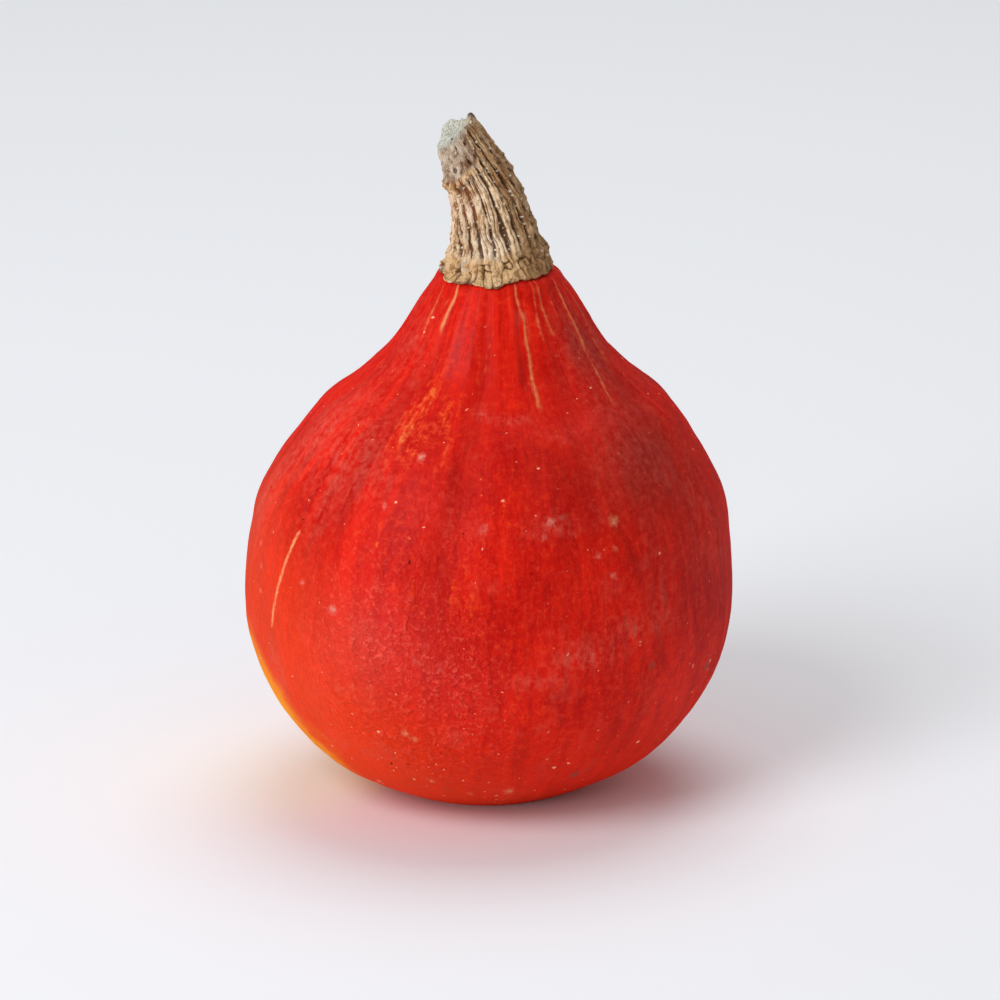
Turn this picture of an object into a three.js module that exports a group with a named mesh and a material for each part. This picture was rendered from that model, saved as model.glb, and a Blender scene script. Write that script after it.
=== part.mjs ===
// A small teardrop-shaped red squash: a round fruit with a short fluted neck, and a curved, corky, ridged stem.
// Millimetres, +Z up, front towards -Y. It stands on z = 0, on a flattened ring round its blossom end.
import * as THREE from "three";
import { mergeVertices } from "three/addons/utils/BufferGeometryUtils.js";

const { smoothstep, lerp, degToRad } = THREE.MathUtils;
const fullTurn = 2 * Math.PI;

// Driving dimensions of the fruit
const bellyRadius = 77.5; // at the widest ring
const neckHeight = 170; // from the table up to the edge of the stem's seat
const neckLean = { by: 3.7, from: 71, to: 150 }; // towards +X, between these heights
const oval = 0.9; // wider from side to side than from front to back
const cheeks = { count: 3, by: 0.7, turned: 0.5 }; // the belly isn't quite round
const belly = { from: 15, to: 60 }; // oval and cheeks grow between these radii

// Furrows between the ribs: narrow valleys of unlike depth, deepest at the shoulder
const ribs = { count: 10, depth: 1.5, valley: 0.38, first: degToRad(-62), sway: degToRad(6), swayOver: 40 };
const ribHeights = { start: 4, low: 60, shoulder: 118, fade: 138, end: 164 };
const shallowShare = 0.45; // how deep they are below the belly, of the depth at the shoulder

// Flutes that run down the neck from the stem and fade out on the shoulder
const flutes = { count: 24, depth: 0.55, wander: 0.8 };
const fluteHeights = { start: 118, full: 146, fade: 162, end: 170 };

// Driving dimensions of the stem
const stemRidges = { count: 17, depth: 1.35, middle: 0.72, sharpness: 0.97 };
const lobes = { count: 9, wander: 1.1, knob: 0.7, droop: 2.9 }; // the collar's lobes creep down the neck
const seatReach = 16.9; // along the skin, from the middle of the seat to between the lobes
const seatGap = 0.3; // between the stem and the fruit
const lip = 0.8; // how thick the collar's edge is
const ledge = { from: 0.7, to: 0.75, drop: 0.6 }; // shares of the length where the bark breaks off
const cutSlant = { from: 0.7, by: 0.27 }; // the cut isn't square to the stem: it rises towards +X
const cutDish = 0.7; // how far the cut end's middle has dried in

// How finely each piece is faceted
const fruitSides = 80;
const fruitRows = 42;
const rowCrowding = 1.35; // above 1 the fruit's rows lie closer together towards the neck
const stemSides = 102;
const seatRows = 5;
const wallRows = 22;
const cutRows = 4;

// The fruit's outline from the blossom end up to the middle of the stem's seat,
// as shares of the belly's radius and the neck's height. Below zero it is pressed flat.
const outline = new THREE.SplineCurve(
  [
    [0, 0.012],
    [0.13, 0.006],
    [0.26, -0.006],
    [0.365, 0.001],
    [0.56, 0.044],
    [0.736, 0.104],
    [0.908, 0.215],
    [0.992, 0.345],
    [0.976, 0.494],
    [0.92, 0.594],
    [0.73, 0.729],
    [0.583, 0.7894],
    [0.458, 0.846],
    [0.392, 0.889],
    [0.334, 0.932],
    [0.275, 0.972],
    [0.235, 0.998],
    [0.14, 1.006],
    [0, 1.009],
  ].map(([radius, height]) => new THREE.Vector2(radius * bellyRadius, height * neckHeight)),
);

// The stem's middle line, from its seat to the middle of its cut end: x and z, in its own plane
const stemLine = new THREE.CatmullRomCurve3(
  [
    [3.3, 171.5],
    [2.7, 177],
    [1.8, 184],
    [0.4, 191],
    [-1.9, 198],
    [-5.9, 206],
    [-10.3, 214.6],
  ].map(([x, z]) => new THREE.Vector3(x, 0, z)),
  false,
  "catmullrom",
);

// The stem's radius at shares of its length
const stemWaist = new THREE.CubicInterpolant(
  [0, 0.1, 0.2, 0.34, 0.52, 0.7, 0.86, 1],
  [17, 15.4, 13.9, 12.5, 11.1, 10.1, 9.1, 7.6],
  1,
);

// How far an angle is from the nearest of `count` evenly spaced ones, from 0 to 1
function offNearest(angle, count, first) {
  const turns = ((angle - first) * count) / fullTurn;
  return Math.abs(turns - Math.round(turns)) * 2;
}

function furrow(angle, height) {
  const sway = ribs.sway * Math.sin(height / ribs.swayOver);
  const valley = Math.exp(-((offNearest(angle + sway, ribs.count, ribs.first) / ribs.valley) ** 2));
  const unlike = 0.75 + 0.25 * Math.sin(3 * angle + 1.3);
  const fadeIn = smoothstep(height, ribHeights.start, ribHeights.low);
  const fadeOut = 1 - smoothstep(height, ribHeights.fade, ribHeights.end);
  const strength = lerp(shallowShare, 1, smoothstep(height, ribHeights.low, ribHeights.shoulder));
  return ribs.depth * valley * unlike * fadeIn * fadeOut * strength;
}

function flute(angle, height) {
  const fadeIn = smoothstep(height, fluteHeights.start, fluteHeights.full);
  const fadeOut = 1 - smoothstep(height, fluteHeights.fade, fluteHeights.end);
  return flutes.depth * fadeIn * fadeOut * Math.cos(flutes.count * angle + flutes.wander * Math.sin(3 * angle));
}

// Where the skin is, at a point of the outline and an angle round the axis
function skinPoint(onOutline, angle) {
  const height = onOutline.y;
  const fullness = smoothstep(onOutline.x, belly.from, belly.to);
  const uneven = oval * Math.cos(2 * angle) + cheeks.by * Math.cos(cheeks.count * angle + cheeks.turned);
  const radius = onOutline.x + fullness * uneven - furrow(angle, height) + flute(angle, height);
  const lean = neckLean.by * smoothstep(height, neckLean.from, neckLean.to);
  return new THREE.Vector3(lean + radius * Math.cos(angle), radius * Math.sin(angle), Math.max(height, 0));
}

// A closed skin of rows of points from one pole to the other. `place` gives a point for a row and an angle.
function closedSkin(rows, sides, place) {
  const profile = Array.from({ length: rows + 1 }, (_, row) => new THREE.Vector2(1, row));
  const geometry = new THREE.LatheGeometry(profile, sides);
  const position = geometry.getAttribute("position");
  for (let side = 0; side <= sides; side++) {
    for (let row = 0; row <= rows; row++) {
      const isPole = row === 0 || row === rows;
      const point = place(row, isPole ? 0 : ((side % sides) * fullTurn) / sides);
      position.setXYZ(side * (rows + 1) + row, point.x, point.y, point.z);
    }
  }
  geometry.deleteAttribute("normal");
  geometry.deleteAttribute("uv");
  return withoutSlivers(mergeVertices(geometry));
}

// At the poles a row is a single point, which leaves triangles with two corners alike
function withoutSlivers(geometry) {
  const corners = Array.from(geometry.index.array);
  const kept = [];
  for (let i = 0; i < corners.length; i += 3) {
    const [a, b, c] = corners.slice(i, i + 3);
    if (a !== b && b !== c && c !== a) kept.push(a, b, c);
  }
  geometry.setIndex(kept);
  geometry.computeVertexNormals();
  return geometry;
}

// The stem's ridges: rounded strips of bark with sharp grooves, which wander and die out towards the cut end
function ridge(angle, share) {
  const wander = 0.09 * Math.sin(2 * angle + 4 * share) + 0.07 * Math.sin(5 * angle - 3 * share);
  const across = offNearest(angle + wander, stemRidges.count, 0);
  const rounded = Math.sqrt(1 - stemRidges.sharpness * across ** 2);
  const height = lerp(1, 0.5, smoothstep(share, 0.55, 1)) * lerp(1.25, 1, smoothstep(share, 0, 0.2));
  return stemRidges.depth * height * (rounded - stemRidges.middle);
}

// 1 in the middle of a collar lobe, -1 between two
function lobe(angle) {
  return Math.sin(lobes.count * angle + lobes.wander * Math.sin(2 * angle));
}

// A point of the stem's wall, at a share of its length and an angle
function wallPoint(share, angle) {
  const along = stemLine.getTangentAt(share);
  const across = new THREE.Vector3(along.z, 0, -along.x);
  const away = new THREE.Vector3(0, 1, 0);
  const waist = stemWaist.evaluate(share)[0] - ledge.drop * smoothstep(share, ledge.from, ledge.to);
  const knob = lobes.knob * lobe(angle) * (1 - smoothstep(share, 0.02, 0.16));
  const radius = waist + ridge(angle, share) + knob;
  const slant = cutSlant.by * smoothstep(share, cutSlant.from, 1);
  return stemLine
    .getPointAt(share)
    .addScaledVector(across, radius * Math.cos(angle))
    .addScaledVector(away, radius * Math.sin(angle))
    .addScaledVector(along, radius * Math.cos(angle) * slant);
}

// A point at a height over the skin under the stem. `out` is 0 in the middle and 1 at the collar's edge.
function seatPoint(out, angle, rise) {
  const reach = seatReach + lobes.droop * (0.55 + 0.45 * lobe(angle));
  const share = 1 - (out * reach) / outline.getLength();
  const onOutline = outline.getPointAt(share);
  const slope = outline.getTangentAt(share);
  const outward = new THREE.Vector3(slope.y * Math.cos(angle), slope.y * Math.sin(angle), -slope.x);
  return skinPoint(onOutline, angle).addScaledVector(outward, rise);
}

function makeFruit() {
  const shares = Array.from({ length: fruitRows + 1 }, (_, row) => 1 - (1 - row / fruitRows) ** rowCrowding);
  const points = shares.map((share) => outline.getPointAt(share));
  return closedSkin(fruitRows, fruitSides, (row, angle) => skinPoint(points[row], angle));
}

// The underside from its middle out, the collar's lip, the wall, and the dished cut end back to its middle
function makeStem() {
  const lipRow = seatRows + 1;
  const lastWallRow = lipRow + wallRows;
  const cutMiddle = stemLine.getPointAt(1);
  const cutNormal = stemLine.getTangentAt(1);
  return closedSkin(lastWallRow + cutRows, stemSides, (row, angle) => {
    if (row < lipRow) return seatPoint(1 - (1 - row / seatRows) ** 2, angle, seatGap);
    if (row === lipRow) return seatPoint(1, angle, seatGap + lip);
    if (row <= lastWallRow) return wallPoint((row - lipRow) / wallRows, angle);
    const inward = (row - lastWallRow) / cutRows;
    const dish = -cutDish * smoothstep(inward, 0, 0.6);
    return wallPoint(1, angle).lerp(cutMiddle, inward).addScaledVector(cutNormal, dish);
  });
}

const rind = new THREE.MeshStandardMaterial({ color: 0xc8231a, roughness: 0.48, metalness: 0 });
const cork = new THREE.MeshStandardMaterial({ color: 0xc6a474, roughness: 0.9, metalness: 0 });

function named(name, geometry, material) {
  const mesh = new THREE.Mesh(geometry, material);
  mesh.name = name;
  return mesh;
}

const squash = new THREE.Group();
squash.add(named("fruit", makeFruit(), rind));
squash.add(named("stem", makeStem(), cork));

// The middle of the standing fruit's outline is the origin
const middle = new THREE.Box3().setFromObject(squash).getCenter(new THREE.Vector3());
squash.position.set(-middle.x, -middle.y, 0);

export default squash;
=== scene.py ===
import math

import bpy
import numpy as np
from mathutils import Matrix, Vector


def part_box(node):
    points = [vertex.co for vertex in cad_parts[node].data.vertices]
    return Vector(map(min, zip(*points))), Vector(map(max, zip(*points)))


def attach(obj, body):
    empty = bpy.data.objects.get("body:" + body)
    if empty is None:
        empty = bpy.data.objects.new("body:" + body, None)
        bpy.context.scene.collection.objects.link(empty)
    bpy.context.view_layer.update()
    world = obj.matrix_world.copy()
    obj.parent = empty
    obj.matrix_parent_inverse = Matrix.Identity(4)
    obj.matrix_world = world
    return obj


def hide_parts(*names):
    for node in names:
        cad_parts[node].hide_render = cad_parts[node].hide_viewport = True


# A red kuri squash standing on a pale table. Shapes are worked out in millimetres
# and turned to metres when a mesh is made. Azimuth 0 is the front, and it grows to the right.
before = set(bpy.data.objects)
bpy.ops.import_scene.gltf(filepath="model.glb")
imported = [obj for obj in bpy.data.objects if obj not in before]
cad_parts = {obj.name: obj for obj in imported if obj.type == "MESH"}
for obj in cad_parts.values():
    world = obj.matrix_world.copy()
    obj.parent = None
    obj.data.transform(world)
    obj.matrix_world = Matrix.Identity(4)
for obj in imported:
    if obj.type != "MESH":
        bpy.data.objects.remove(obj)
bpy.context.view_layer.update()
print("frame loaded:", ", ".join(sorted(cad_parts)))

metresPerMm = 0.001
fullTurn = 2 * math.pi
scene = bpy.context.scene


cameraSettings = {
    "elevation": 18,  # degrees above the table
    "distance": 2.4,  # metres: far enough away for a nearly parallel view
    "widthSeen": 0.3183,  # metres across the picture, at the fruit
    "aim": (0.0036, 0, 0.0933),
    "sensor": 36,
    "seenUpTo": 50,
}


def makeCamera(settings):
    data = bpy.data.cameras.new("camera")
    data.sensor_width = settings["sensor"]
    data.lens = settings["sensor"] * settings["distance"] / settings["widthSeen"]
    data.clip_end = settings["seenUpTo"]
    camera = bpy.data.objects.new("camera", data)
    scene.collection.objects.link(camera)
    rise = math.radians(settings["elevation"])
    back = Vector((0, -math.cos(rise), math.sin(rise)))
    camera.location = Vector(settings["aim"]) + back * settings["distance"]
    camera.rotation_euler = (math.pi / 2 - rise, 0, 0)
    scene.camera = camera


makeCamera(cameraSettings)
print("camera placed")


def smoothStep(value, low, high):
    share = np.clip((value - low) / (high - low), 0, 1)
    return share * share * (3 - 2 * share)


# Grows from 0 to 1, stays there, and falls back to 0
def plateau(value, up, full, fade, end):
    return smoothStep(value, up, full) * (1 - smoothStep(value, fade, end))


# Grows from 0 to a height between two values, or falls back to 0 where the first is the larger
def grow(value, height, low, high):
    return height * smoothStep(value, low, high)


# A rounded hump round a value. About a third of its height is left at its half width.
def hump(value, height, middle, halfWidth, steepness=2):
    return height * np.exp(-(((value - middle) / halfWidth) ** steepness))


# How far an azimuth is from another, from -180 to 180 degrees
def awayFrom(azimuth, centre):
    return (azimuth - centre + 180) % 360 - 180


# The same curve as the solids have: through all points, straight on or clamped at its ends
def curveThrough(points, clamped, count=1200):
    points = np.array(points, float)
    before, after = points[0], points[-1]
    if not clamped:
        before, after = 2 * points[0] - points[1], 2 * points[-1] - points[-2]
    padded = np.vstack([before, points, after])
    place = np.linspace(0, len(points) - 1, count)
    span = np.minimum(place.astype(int), len(points) - 2)
    share = (place - span)[:, None]
    a, b, c, d = (padded[span + k] for k in range(4))
    start, end = (c - a) / 2, (d - b) / 2
    cubic = 2 * b - 2 * c + start + end
    square = 3 * c - 3 * b - 2 * start - end
    return ((cubic * share + square) * share + start) * share + b


# Points and directions of a curve at shares of its length
def alongCurve(curve, shares):
    steps = np.linalg.norm(np.diff(curve, axis=0), axis=1)
    length = np.concatenate([[0], np.cumsum(steps)])
    slope = np.gradient(curve, length, axis=0)
    slope /= np.linalg.norm(slope, axis=1)[:, None]
    at = np.asarray(shares) * length[-1]
    points = np.stack([np.interp(at, length, column) for column in curve.T], -1)
    slopes = np.stack([np.interp(at, length, column) for column in slope.T], -1)
    return points, slopes, length[-1]


gradientCount = 4096
cellPrimes = (73856093, 19349663, 83492791)  # they scatter the gradients over the cells
lumpGain = 1.6


# Smooth lumps of a size in millimetres, about -1 to 1: each corner of a cell has a slope of its own
def lumps(x, y, z, size, seed):
    gradients = np.random.default_rng(seed).normal(size=(gradientCount, 3))
    gradients /= np.linalg.norm(gradients, axis=1)[:, None]
    scaled = np.stack(np.broadcast_arrays(x, y, z), -1) / size
    cell = np.floor(scaled).astype(np.int64)
    inside = scaled - cell
    ease = inside**3 * (inside * (inside * 6 - 15) + 10)
    total = 0
    for corner in np.ndindex(2, 2, 2):
        at = cell + corner
        key = np.bitwise_xor.reduce(at * cellPrimes, axis=-1) % gradientCount
        weight = np.prod(np.where(corner, ease, 1 - ease), axis=-1)
        total = total + weight * (gradients[key] * (inside - corner)).sum(-1)
    return total * lumpGain


# Rows of points from one pole to the other, as a list: a pole is one point
def asList(rows):
    return np.concatenate([rows[:1, 0], rows[1:-1].reshape(-1, *rows.shape[2:]), rows[-1:, 0]])


# A closed skin of rows of points in millimetres, with its marks as attributes of the mesh
def makeSkin(name, points, marks):
    rows, sides = points.shape[0] - 2, points.shape[1]
    first = 1 + np.arange(rows)[:, None] * sides
    here = first + np.arange(sides)[None]
    beside = first + (np.arange(sides)[None] + 1) % sides
    quads = np.stack([here[:-1], beside[:-1], beside[1:], here[1:]], -1).reshape(-1, 4)
    top = rows * sides + 1
    lowCap = [(0, int(b), int(a)) for a, b in zip(here[0], beside[0])]
    highCap = [(top, int(a), int(b)) for a, b in zip(here[-1], beside[-1])]
    mesh = bpy.data.meshes.new(name)
    mesh.from_pydata((asList(points) * metresPerMm).tolist(), [], lowCap + quads.tolist() + highCap)
    mesh.polygons.foreach_set("use_smooth", [True] * len(mesh.polygons))
    for mark, values in marks.items():
        kind, key = ("FLOAT_VECTOR", "vector") if values.ndim == 3 else ("FLOAT", "value")
        layer = mesh.attributes.new(mark, kind, "POINT")
        layer.data.foreach_set(key, asList(values).astype(np.float32).ravel())
    mesh.update()
    piece = bpy.data.objects.new(name, mesh)
    scene.collection.objects.link(piece)
    return piece


def linearColour(hexValue):
    channels = [int(hexValue[i:i + 2], 16) / 255 for i in (1, 3, 5)]
    return [c / 12.92 if c <= 0.04045 else ((c + 0.055) / 1.055) ** 2.4 for c in channels] + [1]


# Adds a shader node, with its settings and with values or links for its inputs, and gives its outputs
def addNode(tree, kind, inputs, **settings):
    node = tree.nodes.new("ShaderNode" + kind)
    for name, value in settings.items():
        setattr(node, name, value)
    for socket, value in inputs.items():
        if isinstance(value, bpy.types.NodeSocket):
            tree.links.new(value, node.inputs[socket])
        else:
            node.inputs[socket].default_value = value
    return node.outputs


# Starts a material from a dictionary. Its fields are numbers all over the surface: marks from the mesh,
# noises with a size in millimetres, and sums of these.
def startMaterial(name, settings):
    material = bpy.data.materials.new(name)
    material.use_nodes = True
    tree = material.node_tree
    tree.nodes.clear()
    place = addNode(tree, "Attribute", {}, attribute_name=settings["place"])["Vector"]
    inMetres = addNode(tree, "TexCoord", {})["Object"]
    spaces = {
        "along": addNode(tree, "Mapping", {0: place, 3: (1, 1, settings["stretch"])})[0],
        "real": addNode(tree, "Mapping", {0: inMetres, 3: [1 / metresPerMm] * 3})[0],
    }
    fields = {}
    for mark in settings["marks"]:
        fields[mark] = addNode(tree, "Attribute", {}, attribute_name=mark)["Fac"]
    for field, (space, size, detail, roughness, distortion) in settings["noises"].items():
        inputs = {"Vector": spaces[space], "Scale": 1 / size, "Detail": detail, "Roughness": roughness,
                  "Distortion": distortion}
        fields[field] = addNode(tree, "TexNoise", inputs)[0]
    for field, parts in settings["sums"].items():
        total = 0
        for part, share in parts.items():
            inputs = {0: fields[part], 1: share, 2: total}
            total = addNode(tree, "Math", inputs, operation="MULTIPLY_ADD")[0]
        fields[field] = total
    return material, fields, spaces["real"]


# Lays coats of colour over each other. A coat grows from nothing to its strength between two values
# of a field, and further fields may hold it back.
def layCoats(tree, fields, settings):
    colours = {tint: linearColour(value) for tint, value in settings["colours"].items()}
    base = colours[settings["ground"]]
    for tint, field, low, high, strength, *holdBack in settings["coats"]:
        inputs = {0: fields[field], 1: low, 2: high, 4: strength}
        share = addNode(tree, "MapRange", inputs)[0]
        for name in holdBack:
            inputs = {0: share, 1: fields[name]}
            share = addNode(tree, "Math", inputs, operation="MULTIPLY")[0]
        inputs = {0: share, 6: base, 7: colours[tint]}
        base = addNode(tree, "Mix", inputs, data_type="RGBA")[2]
    return base


fruitSettings = {
    "bellyRadius": 77.5,
    "neckHeight": 170,
    # from the blossom end to the middle of the stem's seat, as shares of the radius and the height
    "outline": [
        (0, 0.012), (0.13, 0.006), (0.26, -0.006), (0.365, 0.001), (0.56, 0.044), (0.736, 0.104),
        (0.908, 0.215), (0.992, 0.345), (0.976, 0.494), (0.92, 0.594), (0.73, 0.729), (0.583, 0.7894),
        (0.458, 0.846), (0.392, 0.889), (0.334, 0.932), (0.275, 0.972), (0.235, 0.998), (0.14, 1.006),
        (0, 1.009),
    ],
    "neckLean": (3.7, 71, 150),  # to the right, growing between these heights
    # how the belly isn't round: by how much, how many times round, turned by how many radians
    "uneven": [(0.9, 2, 0), (0.7, 3, 0.5)],
    "unevenRadii": (15, 60),
    "ribCount": 10,
    "ribDepth": 1.5,
    "ribValley": 0.38,
    "firstRib": -62,
    "ribSway": (6, 40),  # degrees, and millimetres of height for each radian
    "ribUnlike": (0.25, 3, 1.3),  # how unlike the furrows' depths are, in the same form
    "ribHeights": (4, 60, 138, 164),  # where the furrows start, are full, fade and end
    "ribDeepens": (0.55, 60, 118),  # by this share of their depth
    "fluteCount": 24,
    "fluteDepth": 0.25,
    "fluteWander": (0.8, 3),  # radians, and how many times round
    "fluteHeights": (118, 146, 162, 170),
    "sides": 448,
    "rows": 216,
    "rowCrowding": 1.15,  # towards the stem
    # relief: how high and how wide the lumps are, in mm, and their seed
    "relief": {"dents": (0.5, 38, 1), "swellings": (0.22, 12, 2), "pebbles": (0.09, 4, 3)},
    "ripples": (0.1, 7, 4),  # shallow ripples that run up and down the shoulder, in the same form
    "rippleStretch": 6,
    "rippleHeights": (70, 110, 150, 168),
    "veinHeight": 0.12,
    "foldDepth": 0.35,
    # between which millimetres from the blossom end relief grows, and from the stem's middle fades
    "quietFoot": (34, 60),
    "quietNeck": (22, 17),
    # how veins and folds wave: mm aside, mm of height for a radian, and how much azimuth turns them
    "lineWaves": [(0.6, 6, 1), (0.25, 2.3, 2)],
    "lineWidths": (0.55, 0.6),  # share of their width at the top, and what they gain to the foot
    "lineEnds": (0, 5, -1, 7),  # where they fade, in mm above the foot and the top
    # pale veins down from the stem: azimuth at top and foot, height of both, width, strength
    "veins": [
        (-58, -55, 169, 150, 0.8, 0.6), (-47, -47, 168, 158, 0.7, 0.4), (-40, -43, 169, 153, 0.9, 0.95),
        (-12, -9, 158, 140, 0.6, 0.3), (-4, -8, 156, 142, 0.6, 0.35), (8, 8, 169, 158, 0.7, 0.3),
        (18, 20, 169, 156, 0.8, 0.7), (20, 17, 159, 133, 1.1, 0.75), (25, 19, 168, 150, 0.6, 0.4),
        (32, 30, 168, 151, 0.9, 0.55), (38, 39, 169, 152, 0.9, 0.65), (50, 47, 168, 156, 0.7, 0.45),
        (63, 57, 167, 145, 0.9, 0.75), (56, 52, 146, 131, 0.9, 0.6), (78, 72, 168, 140, 0.8, 0.5),
    ],
    # veins round the back, drawn at random: the ranges are of their feet's heights, widths, strengths
    "backVeins": {"seed": 7, "count": 13, "azimuths": (92, 268), "shift": 5, "lean": 4, "top": 169,
                  "ranges": [(128, 152), (0.5, 1), (0.4, 0.8)]},
    # folds dented into the skin and darkened with painted shade, in the same form as the veins
    "folds": [
        (14, 13, 168, 139, 1.5, 0.8), (29, 49, 130, 50, 2.1, 0.5), (-8, -10, 168, 150, 0.9, 0.4),
        (62, 70, 128, 60, 2.2, 0.35), (44, 45, 168, 150, 1.2, 0.5), (-76, -80, 124, 70, 2, 0.3),
        (112, 104, 130, 60, 2.2, 0.45), (-132, -124, 128, 66, 2, 0.4),
    ],
    "furrowShade": 0.5,  # how far a furrow gets the folds' painted shade
    # orange flecks where the red is thin: azimuth, height, half width, half height, strength
    "flecks": [
        (-31, 139, 7, 9, 0.9), (-35, 130, 8, 10, 0.8), (-21, 134, 6, 8, 0.9), (-27, 124, 6, 7, 0.7),
        (-18, 122, 3, 5, 0.5), (22, 130, 3, 6, 0.6), (39, 150, 3, 4, 0.7), (-28, 100, 8, 10, 0.5),
        (-5, 88, 7, 16, 0.5), (-20, 88, 5, 12, 0.4), (140, 128, 9, 14, 0.5), (-140, 136, 8, 10, 0.5),
        (4, 112, 6, 10, 0.35), (-50, 120, 8, 12, 0.35), (8, 48, 12, 14, 0.3),
    ],
    # crumpled in fine wrinkles: these and the next lists have the same form
    "wrinkled": [
        (-30, 66, 26, 36, 1), (-8, 56, 18, 30, 0.8), (-18, 36, 30, 20, 0.6), (-8, 104, 10, 12, 0.4),
        (150, 80, 34, 36, 0.8), (-120, 70, 30, 34, 0.7),
    ],
    "faintWrinkles": 0.2,  # elsewhere on the belly, between these heights
    "wrinkleHeights": (8, 40, 100, 150),
    # polished by handling
    "rubbed": [
        (-28, 68, 18, 22, 0.9), (-27, 152, 18, 16, 0.3), (-20, 108, 16, 18, 0.15), (-8, 56, 14, 16, 0.35),
        (150, 90, 24, 26, 0.7), (100, 60, 16, 20, 0.5), (-120, 80, 20, 24, 0.6),
    ],
    # dull red: partly dusty rind, partly painted shade on the right shoulder, away from the light, and in a
    # furrow
    "dull": [
        (50, 118, 26, 22, 0.85), (14, 122, 9, 16, 0.35), (64, 150, 26, 16, 0.7), (150, 130, 30, 20, 0.4),
    ],
    # dusty and scuffed
    "scuffs": [
        (-48, 120, 22, 18, 0.4), (-72, 124, 12, 12, 0.5), (-78, 100, 9, 24, 0.6), (-50, 100, 4, 16, 0.2),
        (5, 134, 9, 1.4, 0.6), (-7, 135, 4, 1.4, 0.6), (17, 106, 7, 4, 0.35), (12, 58, 9, 3.5, 0.4),
        (24, 64, 10, 5, 0.6), (38, 71, 9, 5, 0.6), (-60, 50, 3, 11, 0.6), (8, 12, 10, 4, 0.25),
        (46, 78, 6, 16, 0.25), (66, 96, 10, 20, 0.25), (60, 150, 25, 16, 0.4), (-60, 150, 22, 14, 0.25),
        (50, 122, 24, 16, 0.25), (120, 110, 30, 22, 0.3), (-150, 95, 30, 26, 0.35),
    ],
    "patchFall": 1.6,  # such a place has faded to a fifth at its half width
    # spots: azimuth, height, radius
    "paleSpots": [
        (-39, 77, 1.5), (-24, 124, 1.0), (-2, 106, 0.8), (16, 107, 1.1), (14, 103, 0.8), (-50, 82, 0.5),
        (-71, 87, 0.7), (-68, 81, 0.9), (-67, 73, 0.6), (32, 89, 0.9), (-17, 65, 0.5), (28, 96, 0.7),
        (-11, 62, 0.4), (-30, 110, 0.6), (112, 96, 1.4), (151, 70, 1), (-130, 104, 1.2), (-158, 58, 1),
        (175, 120, 1.1),
    ],
    "tanSpots": [
        (34, 105, 1.5), (8, 13, 1.5), (-21, 38, 1.2), (-19, 36, 0.7), (-18, 18, 0.7), (-6, 12, 0.7),
        (33, 97, 0.7), (140, 30, 1.4), (-110, 26, 1.1),
    ],
    "greySpots": [
        (29, 19, 1.5), (33, 20, 0.8), (26, 35, 0.4), (32, 30, 0.4), (20, 108, 0.7), (-14, 14, 0.5),
        (66, 48.5, 1.5), (43, 57, 1.3),
    ],
    # a thin scratch: azimuth and height along it, from its foot up
    "scratch": [(-60, 64), (-59, 73), (-57, 85), (-54, 97)],
    "leastRadius": 12,  # marks aren't squeezed further than this towards the poles
    "groundSpot": (-0.788, 0.047, -0.614),  # where the fruit lay on the soil, from its middle
    "middleHeight": 72,
    "rind": {
        "place": "skinPlace",
        "stretch": 0.17,  # streaks are six times as long as wide
        "marks": [
            "veins", "folds", "flecks", "wrinkled", "rubbed", "dull", "paleSpots", "tanSpots", "greySpots",
            "scuffs", "scratch", "soilSide", "heightAbove",
        ],
        # coordinates, size in mm, detail, roughness, distortion
        "noises": {
            "clouds": ("real", 32, 3, 0.5, 0),
            "patches": ("real", 11, 3, 0.5, 0),
            "grain": ("real", 2.2, 3, 0.65, 0),
            "fineGrain": ("real", 0.8, 2, 0.6, 0),
            "wrinkles": ("real", 3.6, 2, 0.55, 0.8),
            "crumple": ("real", 1.5, 3, 0.65, 0.3),
            "streaks": ("along", 5.5, 4, 0.6, 0),
            "thinStreaks": ("along", 1.8, 3, 0.55, 0),
            "hairStreaks": ("along", 0.8, 2, 0.6, 0.4),
        },
        "sums": {
            "tone": {"clouds": 0.6, "streaks": 0.8, "grain": 0.5},
            "crests": {"crumple": 1, "wrinkles": 0.4, "fineGrain": 0.5},
            "foldShadeTone": {"folds": 1, "grain": 0.5},
            "fleckTone": {"flecks": 0.42, "streaks": 0.5, "thinStreaks": 0.8, "grain": 0.9},
            "soil": {"soilSide": 1, "clouds": 0.08, "patches": 0.1, "grain": 0.04},
            "veinTone": {"veins": 1, "grain": 1.2, "hairStreaks": 0.6, "thinStreaks": 0.5},
            "dust": {"thinStreaks": 0.7, "grain": 1},
            "smudges": {"patches": 1, "grain": 0.3},
            "paleEdge": {"paleSpots": 1, "grain": -3.2},
            "tanEdge": {"tanSpots": 1, "grain": -3.2},
            "greyEdge": {"greySpots": 1, "grain": -3.2},
            "scratchEdge": {"scratch": 1, "grain": 1.6},
            "relief": {"wrinkles": 1, "crumple": 0.6, "fineGrain": 0.12},
            "polish": {"rubbed": -0.14, "grain": 0.35, "scuffs": 0.2},
        },
        "ground": "deepRed",
        "colours": {
            "deepRed": "#bc0f09",
            "brightRed": "#e6200f",
            "darkStreakAndShade": "#8e0d0a",
            "dullRedAndShade": "#93271e",
            # painted highlight: the pinkish sheen laid on the wrinkles' crests
            "crest": "#ff6048",
            "foldShade": "#7c1710",
            "thinRed": "#ee4a18",  # orange, where the red is thin
            # partly the rind's own more orange red low down, partly painted light that brightens the foot
            "lowRedAndBounceLight": "#ea2c06",
            "fleck": "#e9783c",
            "soilOrange": "#ec6a18",
            "soilYellow": "#f7a21a",
            "veinEdge": "#d2482a",
            "vein": "#ea8f5a",
            "pale": "#e09a86",
            "tan": "#e89a6c",
            "grey": "#6b5548",
            "dust": "#d4705f",
            "scratch": "#f79a66",
            "speck": "#f4b492",
            "nick": "#3c120c",
        },
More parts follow.
